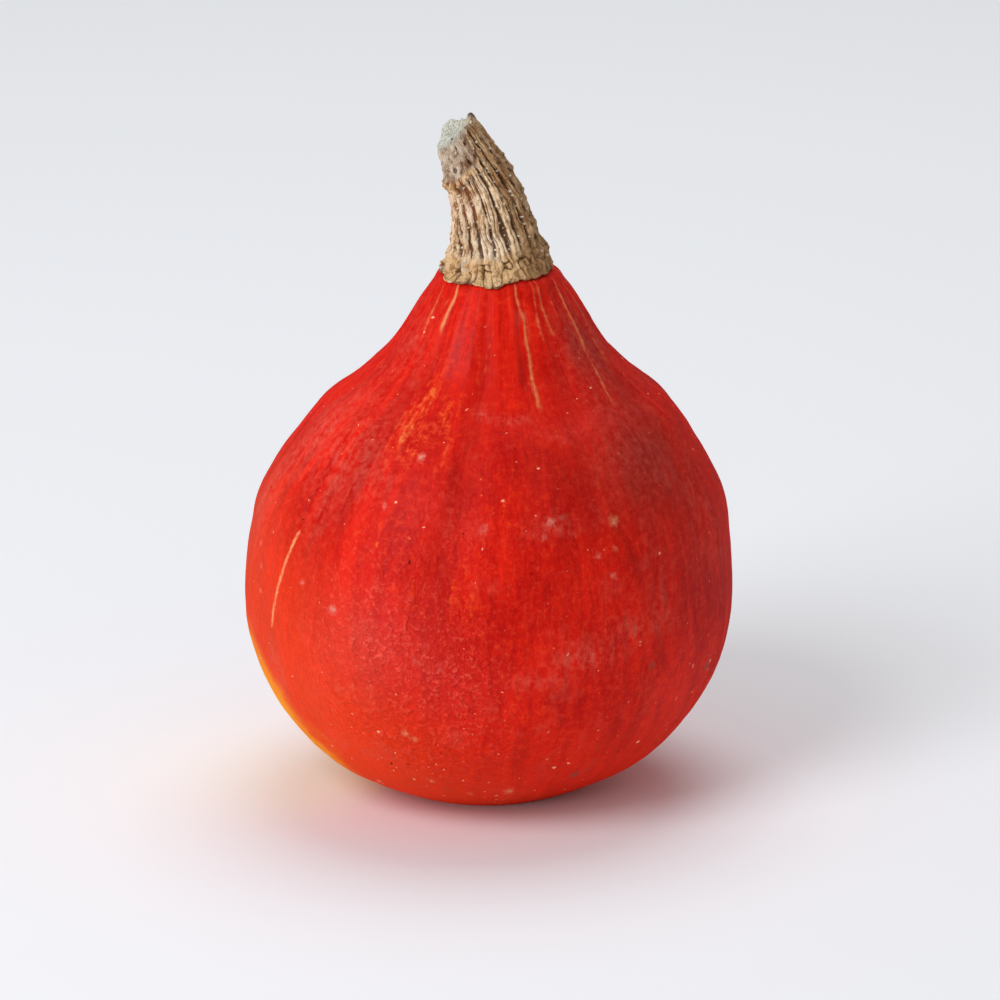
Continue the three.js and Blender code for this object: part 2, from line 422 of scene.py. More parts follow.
        # colour, field, from, to, strength, and fields that hold the coat back
        "coats": [
            ("brightRed", "tone", 0.78, 1.12, 1),
            ("darkStreakAndShade", "thinStreaks", 0.54, 0.72, 0.36),
            ("thinRed", "grain", 0.52, 0.76, 0.2),
            ("thinRed", "hairStreaks", 0.56, 0.8, 0.2),
            ("darkStreakAndShade", "hairStreaks", 0.46, 0.28, 0.22),
            # partly the rind's own colour, partly painted light: brighter red towards the foot
            ("lowRedAndBounceLight", "heightAbove", 50, 0, 0.65),
            # dusty rind, and painted shade on the side away from the light
            ("dullRedAndShade", "dull", 0, 1, 0.75),
            ("brightRed", "wrinkled", 0.2, 1, 0.45),
            # painted shade in the wrinkles' hollows, and a painted pinkish highlight on their crests
            ("darkStreakAndShade", "crests", 0.86, 0.66, 0.26, "wrinkled"),
            ("crest", "crests", 0.97, 1.22, 0.75, "wrinkled"),
            # painted shade in the folds and the rib furrows
            ("foldShade", "foldShadeTone", 0.35, 1.3, 0.55),
            ("thinRed", "fleckTone", 1.32, 1.56, 0.6),
            ("fleck", "fleckTone", 1.5, 1.68, 0.8),
            ("thinRed", "soil", 0.36, 0.96, 0.6),
            ("soilOrange", "soil", 0.935, 1.0, 1),
            ("soilYellow", "soil", 0.97, 1.05, 1),
            ("veinEdge", "veinTone", 1.2, 1.6, 0.75, "veins"),
            ("vein", "veinTone", 1.45, 2.05, 1, "veins"),
            ("dust", "dust", 0.7, 1.15, 1, "scuffs"),
            ("dust", "smudges", 0.72, 1.0, 0.16),
            ("pale", "paleEdge", -0.8, -2.6, 0.36),
            ("pale", "paleEdge", -1.7, -2.9, 0.9),
            ("tan", "tanEdge", -0.8, -2.6, 0.45),
            ("tan", "tanEdge", -1.9, -3.1, 0.75),
            ("grey", "greyEdge", -0.8, -2.6, 0.45),
            ("grey", "greyEdge", -1.9, -3.1, 0.75),
            ("scratch", "scratchEdge", 1.7, 1.0, 0.9),
            ("nick", "nicks", 0.012, -0.02, 1),
            ("thinRed", "specks", 0.07, 0, 0.5),
            ("speck", "specks", 0.012, -0.02, 1),
            ("speck", "fineSpecks", 0.012, -0.02, 1),
        ],
        # specks and nicks: spacing in mm, where the pattern starts, and the chance below which none is left
        "specks": {"specks": (5.5, 0, 0.38), "nicks": (5.5, 40, 0.6), "fineSpecks": (3.2, 80, 0.5)},
        # they are larger low on the fruit: by how much more, and growing down between which heights
        "speckShape": {"raggedScale": 1.1, "raggedBy": 1.6, "size": 0.08, "more": 0.1,
                       "moreBetween": (60, 12)},
        "roughness": (0.3, 0.54),  # polished and dull
        "polishRange": (0.02, 0.28),
        "edgeRoughness": 0.35,  # dust dulls it where it is seen along the skin
        "edgeRange": (0.45, 0.95),
        "ior": 1.45,
        "specular": 0.06,  # a thin wax reflects less than a polished skin
        "polishedWax": 0.45,  # how far the wax is polished up where hands have rubbed it
        "polishedRoughness": 0.36,
        "bumpHeight": 1.6,
        "bumpShares": (0.12, 1),  # on smooth skin and on wrinkled skin
    },
}


def furrowDepth(angle, height, settings):
    sway, swayOver = settings["ribSway"]
    turned = angle + math.radians(sway) * np.sin(height / swayOver) - math.radians(settings["firstRib"])
    turns = turned * settings["ribCount"] / fullTurn
    offValley = np.abs(turns - np.round(turns)) * 2
    by, count, start = settings["ribUnlike"]
    unlike = 1 - by + by * np.sin(count * angle + start)
    valley = hump(offValley, settings["ribDepth"], 0, settings["ribValley"]) * unlike
    deepened = 1 - settings["ribDeepens"][0] + grow(height, *settings["ribDeepens"])
    return valley * plateau(height, *settings["ribHeights"]) * deepened


def fluteHeight(angle, height, settings):
    wander, timesRound = settings["fluteWander"]
    wave = np.cos(settings["fluteCount"] * angle + wander * np.sin(timesRound * angle))
    return settings["fluteDepth"] * plateau(height, *settings["fluteHeights"]) * wave


# The smooth skin that the solids have: x, y and z for points of the outline and angles
def skinAt(radius, height, angle, settings):
    uneven = sum(by * np.cos(count * angle + turned) for by, count, turned in settings["uneven"])
    out = radius + smoothStep(radius, *settings["unevenRadii"]) * uneven
    out = out - furrowDepth(angle, height, settings) + fluteHeight(angle, height, settings)
    lean = grow(height, *settings["neckLean"])
    aboveTable = np.maximum(height, 0) + 0 * angle
    return np.stack([lean + out * np.cos(angle), out * np.sin(angle), aboveTable], -1)


outlineCurve = curveThrough(
    np.array(fruitSettings["outline"]) * (fruitSettings["bellyRadius"], fruitSettings["neckHeight"]), True
)


# The back isn't seen in the photograph: its veins are like those in front, in places of their own
def backVeins(settings):
    rng = np.random.default_rng(settings["seed"])
    count, shift, lean = settings["count"], settings["shift"], settings["lean"]
    for azimuthTop in np.linspace(*settings["azimuths"], count) + rng.uniform(-shift, shift, count):
        azimuthLow = azimuthTop + rng.uniform(-lean, lean)
        yield azimuthTop, azimuthLow, settings["top"], *[rng.uniform(*span) for span in settings["ranges"]]


# How strongly thin lines show, which wander a little and widen towards their foot
def linePaint(azimuth, height, radius, lines, settings):
    paint = 0
    thin, widening = settings["lineWidths"]
    out, inside, fade, end = settings["lineEnds"]
    for azimuthTop, azimuthLow, high, low, width, strength in lines:
        down = np.clip((high - height) / (high - low), 0, 1)
        waves = [by * np.sin(height / over + turn * azimuthTop) for by, over, turn in settings["lineWaves"]]
        middle = azimuthTop + (azimuthLow - azimuthTop) * down
        aside = np.radians(awayFrom(azimuth, middle)) * radius + sum(waves)
        ends = plateau(height, low + out, low + inside, high + fade, high + end)
        paint = np.maximum(paint, ends * hump(aside, strength, 0, width * (thin + widening * down)))
    return paint


farAway = 9.0  # millimetres from a spot or scratch, where nothing of it shows


# Millimetres from the edge of the nearest spot, below zero inside it
def spotEdge(azimuth, height, radius, spots):
    nearest = np.full(azimuth.shape, farAway)
    for spotAzimuth, spotHeight, size in spots:
        around = np.radians(awayFrom(azimuth, spotAzimuth)) * radius
        nearest = np.minimum(nearest, np.hypot(around, height - spotHeight) - size)
    return nearest


# Millimetres from the scratch, growing past its ends
def scratchEdge(azimuth, height, radius, line):
    azimuths, heights = np.array(line, float).T
    across = np.abs(np.radians(awayFrom(azimuth, np.interp(height, heights, azimuths))) * radius)
    past = np.maximum(heights[0] - height, 0) + np.maximum(height - heights[-1], 0)
    return np.minimum(across + past, farAway)


# How strongly soft round places show
def patchPaint(azimuth, height, patches, fall):
    paint = 0
    for centre, middle, halfWidth, halfHeight, strength in patches:
        off = (awayFrom(azimuth, centre) / halfWidth) ** 2 + ((height - middle) / halfHeight) ** 2
        paint = 1 - (1 - paint) * (1 - strength * np.exp(-off * fall))
    return paint


# The solids stand with the middle of their outline over the origin
def shiftToFrame(points):
    low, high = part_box("fruit")
    flat = points[..., :2].reshape(-1, 2)
    middle = (flat.max(0) + flat.min(0)) / 2
    cadMiddle = (np.array(low[:2]) + np.array(high[:2])) / 2 / metresPerMm
    return np.append(cadMiddle - middle, 0)


def makeFruit(settings):
    rows, sides = settings["rows"], settings["sides"]
    shares = 1 - (1 - np.linspace(0, 1, rows)) ** settings["rowCrowding"]
    onOutline, slope, length = alongCurve(outlineCurve, shares)
    radius, height = onOutline[:, :1], onOutline[:, 1:]
    angle = np.arange(sides)[None] * fullTurn / sides
    points = skinAt(radius, height, angle, settings)
    shift = shiftToFrame(points)
    arc = shares[:, None] * length
    around, acrossDepth = settings["bellyRadius"] * np.cos(angle), settings["bellyRadius"] * np.sin(angle)
    azimuth = awayFrom(np.degrees(angle) + 90, 0) + 0 * height
    tall = height + 0 * angle
    wide = np.maximum(radius, settings["leastRadius"]) + 0 * angle
    allVeins = settings["veins"] + list(backVeins(settings["backVeins"]))
    veins = linePaint(azimuth, tall, wide, allVeins, settings)
    folds = linePaint(azimuth, tall, wide, settings["folds"], settings)

    relief = 0
    for depth, width, seed in settings["relief"].values():
        relief = relief + depth * lumps(*np.moveaxis(points, -1, 0), width, seed)
    depth, width, seed = settings["ripples"]
    ripples = lumps(around, acrossDepth, arc / settings["rippleStretch"], width, seed)
    relief += depth * plateau(height, *settings["rippleHeights"]) * ripples
    relief += settings["veinHeight"] * veins - settings["foldDepth"] * folds
    # no relief on the ring that it stands on, nor under the stem
    quietUpTo, fullFrom = settings["quietFoot"]
    fadesAt, endsAt = settings["quietNeck"]
    relief = relief * plateau(arc, quietUpTo, fullFrom, length - fadesAt, length - endsAt)
    outward, upward = slope[:, 1:], -slope[:, :1]
    normal = np.stack([outward * np.cos(angle), outward * np.sin(angle), upward + 0 * angle], -1)
    points = points + normal * relief[..., None] + shift
    points[..., 2] = np.maximum(points[..., 2], 0)

    toSoil = np.array(settings["groundSpot"]) / np.linalg.norm(settings["groundSpot"])
    fromMiddle = points - (0, 0, settings["middleHeight"])
    furrows = furrowDepth(angle, height, settings) / settings["ribDepth"]
    paints = {
        "skinPlace": np.stack(np.broadcast_arrays(around, acrossDepth, arc), -1),
        "veins": veins,
        # the folds carry the painted shade of the folds and of the rib furrows
        "folds": np.maximum(folds, settings["furrowShade"] * furrows),
        "scratch": scratchEdge(azimuth, tall, wide, settings["scratch"]),
        "soilSide": (fromMiddle @ toSoil) / np.linalg.norm(fromMiddle, axis=-1),
        "heightAbove": tall,
    }
    for mark in ("wrinkled", "flecks", "rubbed", "dull", "scuffs"):
        paints[mark] = patchPaint(azimuth, tall, settings[mark], settings["patchFall"])
    for mark in ("paleSpots", "tanSpots", "greySpots"):
        paints[mark] = spotEdge(azimuth, tall, wide, settings[mark])
    faint = settings["faintWrinkles"] * plateau(tall, *settings["wrinkleHeights"])
    paints["wrinkled"] = np.maximum(faint, paints["wrinkled"])
    piece = makeSkin("squashFruit", points, paints)
    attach(piece, "root")
    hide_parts("fruit")
    return piece, shift


fruit, frameShift = makeFruit(fruitSettings)
print("fruit shaped:", len(fruit.data.polygons), "faces")


# Specks and nicks: each is a ragged cell of its own size, most of them near the blossom end
def addSpecks(tree, fields, real, settings):
    shape = settings["speckShape"]
    high, low = shape["moreBetween"]
    for field, (spacing, start, least) in settings["specks"].items():
        moved = addNode(tree, "VectorMath", {0: real, 1: (start, start / 2, 0)}, operation="ADD")[0]
        inputs = {"Vector": moved, "Scale": shape["raggedScale"], "Detail": 1}
        ragged = addNode(tree, "TexNoise", inputs)["Color"]
        inputs = {0: ragged, 1: [shape["raggedBy"]] * 3, 2: moved}
        moved = addNode(tree, "VectorMath", inputs, operation="MULTIPLY_ADD")[0]
        cells = addNode(tree, "TexVoronoi", {"Vector": moved, "Scale": 1 / spacing})
        chance = addNode(tree, "SeparateColor", {0: cells["Color"]})
        size = addNode(tree, "MapRange", {0: chance[0], 1: least, 4: shape["size"]})[0]
        more = addNode(tree, "MapRange", {0: fields["heightAbove"], 1: high, 2: low, 4: shape["more"]})[0]
        size = addNode(tree, "Math", {0: more, 1: chance[1], 2: size}, operation="MULTIPLY_ADD")[0]
        fields[field] = addNode(tree, "Math", {0: cells["Distance"], 1: size}, operation="SUBTRACT")[0]


# Squash rind: a grown skin with a thin natural wax. The wax gives a broad satin sheen that
# fine wrinkles break up, over a deep red streaked from the stem to the blossom end. Painted into the colour
# as well: pinkish highlights on the wrinkles' crests, shade in their hollows, folds and furrows, and light
# at the foot.
def makeRind(settings):
    material, fields, real = startMaterial("waxySquashRind", settings)
    tree = material.node_tree
    addSpecks(tree, fields, real, settings)
    base = layCoats(tree, fields, settings)
    smooth, dull = settings["roughness"]
    polishedAt, dullAt = settings["polishRange"]
    rough = addNode(tree, "MapRange", {0: fields["polish"], 1: polishedAt, 2: dullAt, 3: smooth, 4: dull})[0]
    facing = addNode(tree, "LayerWeight", {})["Facing"]
    edgeFrom, edgeTo = settings["edgeRange"]
    edge = addNode(tree, "MapRange", {0: facing, 1: edgeFrom, 2: edgeTo, 4: settings["edgeRoughness"]})[0]
    rough = addNode(tree, "Math", {0: rough, 1: edge}, operation="ADD")[0]
    polished = addNode(tree, "MapRange", {0: fields["rubbed"], 4: settings["polishedWax"]})[0]
    least, most = settings["bumpShares"]
    strength = addNode(tree, "MapRange", {0: fields["wrinkled"], 3: least, 4: most})[0]
    height = settings["bumpHeight"] * metresPerMm
    bump = addNode(tree, "Bump", {"Height": fields["relief"], "Strength": strength, "Distance": height})[0]
    shader = addNode(tree, "BsdfPrincipled", {
        "Base Color": base, "Roughness": rough, "Normal": bump, "IOR": settings["ior"],
        "Specular IOR Level": settings["specular"], "Coat Weight": polished, "Coat Normal": bump,
        "Coat Roughness": settings["polishedRoughness"],
    })
    addNode(tree, "OutputMaterial", {0: shader[0]})
    return material


fruit.data.materials.append(makeRind(fruitSettings["rind"]))
print("rind finished")


stemSettings = {
    "line": [(3.3, 171.5), (2.7, 177), (1.8, 184), (0.4, 191), (-1.9, 198), (-5.9, 206), (-10.3, 214.6)],
    "shares": [0, 0.1, 0.2, 0.34, 0.52, 0.7, 0.86, 1],
    "radii": [17, 15.4, 13.9, 12.5, 11.1, 10.1, 9.1, 7.6],
    "seed": 11,
    "sides": 370,
    "rows": {"seat": 6, "lip": 4, "wall": 240, "cut": 18},
    "seatCrowding": 0.7,
    "bark": {
        "strands": 21,
        "depth": 1.75,
        "middle": 0.66,  # bark this tall stands neither out nor in
        "twist": 0.25,  # radians, from the collar to the cut
        "ranges": [(0.68, 1), (-0.1, 0.1), (0.7, 1.15)],  # of the strands' widths, centres and heights
        "widerLow": (0.16, 9, 2),  # by how much, and between which millimetres up the stem
        "roundness": (2.6, 0.55),  # powers that round a strand and make its sides steep
        "cords": 2.4,  # in a strand
        "seamWidth": 0.34,
        "seamDepth": 0.45,
        "seamsBetween": (-0.6, 0),  # lumps for which the cords part
        "shallowLow": (0.3, 0.3, 0.05),  # by how much, and between which shares of the length
        "shallowHigh": (0.45, 0.6, 1),
        "shallowBare": 0.65,
    },
    "warts": {
        "most": 40,  # in a groove
        "spacing": (0.8, 3.4),
        "sideways": (-0.22, 0.22),
        "radius": 0.28,
        "sizes": (0.5, 1.25),
        "missing": 0.2,
        "slope": (1.4, 0.6),  # from nothing to full height, in radii
        "height": 0.2,
    },
    # above a ragged ledge the bark has come off, all but on the right
    "ledge": {
        "share": 0.72,
        "rises": (0.04, -50, 20),  # by how much, and between which azimuths
        "kept": (20, 46, 140, 170),  # azimuths of the bark that reaches the cut
        "keptBy": 0.5,
        "step": 0.025,
        "drop": 0.7,  # millimetres
        # the rolled edge and the hollows under it, which are also darkened with painted shade: height, place
        # past the ledge and half width
        "rolled": (0.9, -0.018, 0.026),
        "hollows": (1, -0.06, 0.025),
        "hollowsBetween": (-0.25, 0.25),
        "hollowDepth": 0.5,
        "pitsBetween": (0.4, 0.66),
        "pitDepth": 0.7,
    },
    "collar": {
        "ring": (1, 4, 3),  # its middle and half width, in millimetres up the stem
        "fades": (4, 9),  # where its looks give way to the strands'
        "relief": (1.35, 0.4, -0.5, -0.1),  # of knobs, strands and cracks, and all over
        "crackWidth": 0.09,
        "lip": 1.1,
        "lipShares": (0.8, 0.3, 0.3),  # of the lip's height: all over, on strands and on knobs
        "lipBulge": 0.02,
        "gap": 0.3,  # between the stem and the fruit
        "toWall": 0.03,  # share of the length over which the lip turns into the wall
        "byStrand": (0.7, 0.7),  # how far strands push the edge out, and how tall one is that doesn't
        # how far the edge creeps out over the skin: azimuth and millimetres
        "edge": [
            (-180, 18.4), (-150, 19.2), (-125, 18), (-95, 17.8), (-73, 18), (-56, 19.3), (-38, 19.2),
            (-24, 18.6), (-10, 19.4), (0, 19.3), (6, 18), (22, 16.6), (40, 16.9), (70, 16.6), (95, 16.4),
            (120, 17.6), (150, 19), (180, 18.4),
        ],
    },
    "cutEnd": {
        "slant": (0.27, 0.7, 1),  # it rises to the right
        "rimFrom": 0.9,
        # what stands up from the rim or is notched into it: angle, half width, steepness, height
        "rim": {"bump": (4, 17, 4, 0.3), "stub": (104, 30, 4, 2.6), "notch": (34, 14, 2, -0.9)},
        # heights, and places from the rim at 0 to the middle at 1
        "dish": (-0.7, 0, 0.6),
        "rimFades": (0.12, 0.4),
        "besideBump": [(0.8, 0.12, 0.12), (-1, 0.42, 0.14)],
        "pith": (-0.5, 1, 0.2),
    },
    # sums of lumps: height, reach from the axis in mm, stretch along it, size in mm, seed
    "lumps": {
        "wander": [(0.3, 11, 0.35, 9, 21), (0.07, 12, 0.8, 3, 22)],
        "roughBark": [(0.1, 60, 1.6, 3, 25), (0.28, 14, 1, 1.4, 28)],
        "raggedLedge": [(0.028, 9, 0, 2.6, 31), (0.018, 12, 0, 1.1, 36)],
        "rolled": [(1.3, 12, 1, 2.4, 40)],
        "hollows": [(1, 12, 0, 2, 45)],
        "worn": [(0.6, 9, 1, 2.6, 32), (0.36, 9, 1, 1.2, 41)],
        "pits": [(1, 10, 0.8, 2, 38)],
        "knobs": [(1, 16, 0.9, 3.6, 37), (0.6, 16, 1, 1.8, 39), (0.3, 16, 1, 1, 42)],
        "cracks": [(1, 16, 0.7, 3.2, 44)],
        "collarEdge": [(0.5, 18, 0, 3, 34), (0.3, 18, 0, 1.2, 43)],
        "rim": [(0.5, 8, 0, 1.8, 33)],
        "cutFibres": [(0.22, 8, 0, 1.5, 35)],
    },
    # lumps along each strand: height, how far apart strands lie, place aside, size in mm, seed
    "strandLumps": {
        "width": (0.32, 5.7, 1, 6, 26),
        "height": (0.5, 7.3, 0, 3.4, 23),
        "cords": (0.9, 3.1, 2, 8, 24),
        "seams": (1, 2.9, 4, 6, 27),
    },
    "marks": {
        "fibreReach": 10,  # millimetres from the axis, for the cork's noises
        "toRight": (-5, 42, 120, 175),  # azimuths of the side turned away from the light, which gets painted shade
        # how tall bark looks: in seams and cracks less, where it is bare, and on knobs
        "seam": 0.75, "crack": 0.7, "bare": 0.75, "knob": (0.45, 0.2, 0.35), "knobsBetween": (-0.6, 0),
        "fewWarts": 0.6,  # how far the collar's warts fade
        "cutShow": (0.6, 0.4),  # at the wall's end, and how much less on the right
        "cutAside": (0.7, 0.7, 0.1),  # how much less on the right of the face
        "redShares": (0.25, 0.5),  # shares of the length between which grooves turn red
        "redAzimuths": (30, -10),
    },
    "cork": {
        "place": "barkPlace",
        "stretch": 0.16,  # bark fibres are six times as long as wide
        "marks": [
            "crest", "warts", "bare", "pits", "knob", "cut", "nub", "strandTone", "toRight", "redGroove",
        ],
        # coordinates, size in mm, detail, roughness, distortion
        "noises": {
            "fibres": ("along", 0.6, 4, 0.68, 0.3),
            "patches": ("real", 5, 3, 0.5, 0),
            "crumbs": ("real", 1.5, 3, 0.6, 0.5),
            "grain": ("real", 0.55, 2, 0.5, 0),
        },
        "sums": {
            "tone": {"fibres": 1, "patches": 0.7, "strandTone": 0.2, "crumbs": 0.3},
            "knobTone": {"knob": 1, "grain": 0.5},
            "blotches": {"crumbs": 1, "grain": 0.4, "patches": 0.4},
            "rightTone": {"toRight": 1, "tone": -0.6},
            "depth": {"crest": 1, "fibres": 0.4, "grain": 0.25, "crumbs": 0.3},
            "redTone": {"redGroove": 1, "crest": -0.8, "patches": 0.6},
            "wornTone": {"fibres": 1, "patches": 1.1, "grain": 0.4, "crumbs": 0.6},
            "relief": {"fibres": 1, "grain": 0.4, "crumbs": 0.8},
        },
        "ground": "strawDark",
        "colours": {
            "groove": "#57341d",
            "grooveRed": "#9a5630",
            "strawDark": "#a3764c",
            "straw": "#d6ad82",
            "cream": "#f4dcba",
            "knob": "#dcb078",
            "knobDark": "#96693a",
            "bruise": "#aab0b8",
            "wart": "#efe2ca",
            "bareLight": "#dcc8ae",
            "bareDark": "#7d5433",
            "pit": "#45291a",
            "shade": "#855630",  # painted shade: the darker brown of the side turned away from the light
            "cutFace": "#e6e3d5",
            "cutDark": "#a3a08c",
            "nub": "#5c4838",
        },
        # colour, field, from, to, strength, and fields that hold the coat back
        "coats": [
            ("straw", "tone", 0.86, 1.1, 1),
            ("cream", "tone", 0.98, 1.22, 1),
            ("knob", "knobTone", 0.5, 1.1, 0.7),
            ("knobDark", "blotches", 0.9, 0.72, 0.75, "knob"),
            ("strawDark", "blotches", 0.82, 0.66, 0.6),
            ("bruise", "patches", 0.6, 0.66, 0.5, "knob"),
            # painted shade: the side turned away from the light is made darker and browner; the yellower
            # knob tint there is the cork's own
            ("shade", "toRight", 0.2, 1, 0.6, "knob"),
            ("knob", "toRight", 0, 1, 0.6),
            ("shade", "rightTone", -0.05, 0.55, 0.8),
            ("groove", "depth", 1.1, 0.72, 0.92),
            ("grooveRed", "redTone", 0.75, 1.15, 0.75, "redGroove"),
            # painted shade: darker mottling on the side turned away from the light
            ("groove", "blotches", 0.84, 0.64, 0.7, "toRight"),
            ("bareDark", "bare", 0, 1, 1),
            ("bareLight", "wornTone", 1.32, 1.75, 0.95, "bare"),
            ("pit", "blotches", 0.78, 0.62, 0.65, "bare"),
            # painted shade on the bare wood of the side turned away from the light
            ("shade", "toRight", 0, 1, 0.8, "bare"),
            ("cutDark", "cut", 0, 1, 1),
            ("cutFace", "grain", 0.3, 0.6, 1, "cut"),
            # dark pits in the bare wood, and painted shade in the hollows under the ledge
            ("pit", "pits", 0.05, 0.8, 0.7),
            ("wart", "warts", 0.05, 0.8, 0.9),
            ("nub", "nub", 0.05, 0.8, 0.9),
        ],
        "roughness": 0.88,
        "specular": 0.3,
        "ior": 1.45,
        "bumpHeight": 0.55,
    },
}


# Radius of the stem at shares of its length: smooth between the stated ones
def waistAt(share, settings):
    at, radius = np.array(settings["shares"], float), np.array(settings["radii"], float)
    slope = np.gradient(radius, at)
    slope[1:-1] = (radius[2:] - radius[:-2]) / (at[2:] - at[:-2])
    i = np.clip(np.searchsorted(at, share, side="right") - 1, 0, len(at) - 2)
    span = at[i + 1] - at[i]
    t = (share - at[i]) / span
    rest = (t**3 - 2 * t**2 + t) * span * slope[i] + (t**3 - t**2) * span * slope[i + 1]
    return (2 * t**3 - 3 * t**2 + 1) * radius[i] + (3 * t**2 - 2 * t**3) * radius[i + 1] + rest


# A sum of lumps round the stem and up it, or in over the cut end
def stemLumps(name, settings, angle, along=0, outward=1):
    total = 0
    for height, reach, stretch, size, seed in settings["lumps"][name]:
        x, y = reach * outward * np.cos(angle), reach * outward * np.sin(angle)
        total = total + height * lumps(x, y, stretch * along, size, seed)
    return total


def strandLumps(name, settings, strand, along):
    height, apart, aside, size, seed = settings["strandLumps"][name]
    return height * lumps(strand * apart, aside, along, size, seed)


# The grid of the stem's wall: where its points are round the stem, and up it from the collar to the cut
def wallPlaces(settings):
    shares = np.linspace(0, 1, settings["rows"]["wall"] + 1)
    middle, slope, length = alongCurve(curveThrough(settings["line"], False), shares)
    angles = np.arange(settings["sides"]) * fullTurn / settings["sides"]
    share, angle = np.meshgrid(shares, angles, indexing="ij")
    azimuth = awayFrom(np.degrees(angle) + 90, 0)
    return {"share": share, "angle": angle, "azimuth": azimuth, "along": share * length, "middle": middle,
            "slope": slope}


# Strands of bark with grooves between them: where they are, and how tall they stand
def strandsAt(places, rng, settings):
    bark, angle, along = settings["bark"], places["angle"], places["along"]
    count = bark["strands"]
    wander = stemLumps("wander", settings, angle, along)
    place = (angle + bark["twist"] * places["share"]) * count / fullTurn + wander
    cell = np.floor(place).astype(int)
    strand = cell % count
    widths, centres, heights = [rng.uniform(*span, count) for span in bark["ranges"]]
    halfWidth = widths[strand] * (1 + strandLumps("width", settings, strand, along))
    halfWidth = halfWidth * (1 + grow(along, *bark["widerLow"]))
    across = (2 * (place - cell) - 1 - centres[strand]) / halfWidth
    rounding, steepness = bark["roundness"]
    body = np.clip(1 - np.abs(across) ** rounding, 0, 1) ** steepness
    # each strand is a few cords laid side by side, which part and join again
    cordPlace = across * bark["cords"] / 2 + strandLumps("cords", settings, strand, along) + 0.5
    betweenCords = np.abs(cordPlace - np.round(cordPlace)) * 2
    parted = smoothStep(strandLumps("seams", settings, strand, along), *bark["seamsBetween"])
    seam = hump(betweenCords, 1, 0, bark["seamWidth"]) * parted
    tall = heights[strand] * (1 + strandLumps("height", settings, strand, along))
    height = tall * body * (1 - bark["seamDepth"] * seam) + stemLumps("roughBark", settings, angle, along)
    return {"place": place, "strand": strand, "body": body, "seam": seam, "height": height}


# Small warts that stand in the grooves between the strands
def wartsAt(places, place, rng, settings):
    warts, count = settings["warts"], settings["bark"]["strands"]
    most, (foot, top) = warts["most"], warts["slope"]
    groove = np.round(place).astype(int)
    cellWidth = fullTurn * waistAt(places["share"], settings) / count
    paint = np.zeros_like(place)
    for k in range(count):
        spots = np.cumsum(rng.uniform(*warts["spacing"], most))
        sideways = rng.uniform(*warts["sideways"], most)
        sizes = warts["radius"] * rng.uniform(*warts["sizes"], most) * (rng.random(most) > warts["missing"])
        here = groove % count == k
        along = places["along"][here]
        nearest = np.clip(np.searchsorted((spots[1:] + spots[:-1]) / 2, along), 0, most - 1)
        aside = (place[here] - groove[here] - sideways[nearest]) * cellWidth[here]
        away, size = np.hypot(aside, along - spots[nearest]), sizes[nearest]
        paint[here] = smoothStep(-away, -size * foot, -size * top) * (size > 0)
    return paint


# Where the bark has come off, and the rolled edge and the hollows of the bark below
def ledgeAt(places, settings):
    ledge, angle, azimuth = settings["ledge"], places["angle"], places["azimuth"]
    at = ledge["share"] + grow(azimuth, *ledge["rises"]) + stemLumps("raggedLedge", settings, angle)
    past = places["share"] - at - ledge["keptBy"] * plateau(azimuth, *ledge["kept"])
    hollows = smoothStep(stemLumps("hollows", settings, angle), *ledge["hollowsBetween"])
    hollows = hollows * hump(past, *ledge["hollows"])
    return smoothStep(past, 0, ledge["step"]), hump(past, *ledge["rolled"]), hollows


# How far the wall stands out from the stem's waist, with the marks that it has
def wallRelief(places, settings):
    rng = np.random.default_rng(settings["seed"])
    bark, ledge, collar = settings["bark"], settings["ledge"], settings["collar"]
    angle, share, along = places["angle"], places["share"], places["along"]
    strands = strandsAt(places, rng, settings)
    warts = wartsAt(places, strands["place"], rng, settings)
    bare, rolled, hollows = ledgeAt(places, settings)
    knobs = stemLumps("knobs", settings, angle, along)
    cracks = hump(stemLumps("cracks", settings, angle, along), 1, 0, collar["crackWidth"])
    pits = smoothStep(stemLumps("pits", settings, angle, along), *ledge["pitsBetween"])

    depth = bark["depth"] * (1 - grow(share, *bark["shallowLow"])) * (1 - grow(share, *bark["shallowHigh"]))
    relief = depth * (1 - bark["shallowBare"] * bare) * (strands["height"] - bark["middle"])
    onKnobs, onStrands, onCracks, allOver = collar["relief"]
    lumpy = onKnobs * knobs + onStrands * strands["body"] + onCracks * cracks + allOver
    relief += hump(along, *collar["ring"]) * lumpy
    relief += rolled * (1 + stemLumps("rolled", settings, angle, along))
    relief += settings["warts"]["height"] * warts * (1 - bare)
    relief += bare * (stemLumps("worn", settings, angle, along) - ledge["pitDepth"] * pits - ledge["drop"])
    relief -= ledge["hollowDepth"] * hollows
    return relief, {**strands, "warts": warts, "bare": bare, "rolled": rolled, "hollows": hollows,
                    "knobs": knobs, "cracks": cracks, "pits": pits}


# How far the cut's rim stands up, and how strongly its bump shows
def rimAt(angle, settings):
    rise = stemLumps("rim", settings, angle)
    humps = {}
    for name, (middle, halfWidth, steepness, height) in settings["cutEnd"]["rim"].items():
        humps[name] = hump(awayFrom(np.degrees(angle), middle), 1, 0, halfWidth, steepness)
        rise = rise + height * humps[name]
    return rise, humps["bump"]


def wallPoints(places, relief, rimRise, settings):
    cutEnd, share, angle = settings["cutEnd"], places["share"], places["angle"]
    middle, slope = places["middle"], places["slope"]
    radius = waistAt(share, settings) + relief
    across, away = radius * np.cos(angle), radius * np.sin(angle)
    rise = across * grow(share, *cutEnd["slant"]) + rimRise * smoothStep(share, cutEnd["rimFrom"], 1)
    x = middle[:, :1] + slope[:, 1:] * across + slope[:, :1] * rise
    z = middle[:, 1:] - slope[:, :1] * across + slope[:, 1:] * rise
    return np.stack([x, away, z], -1)


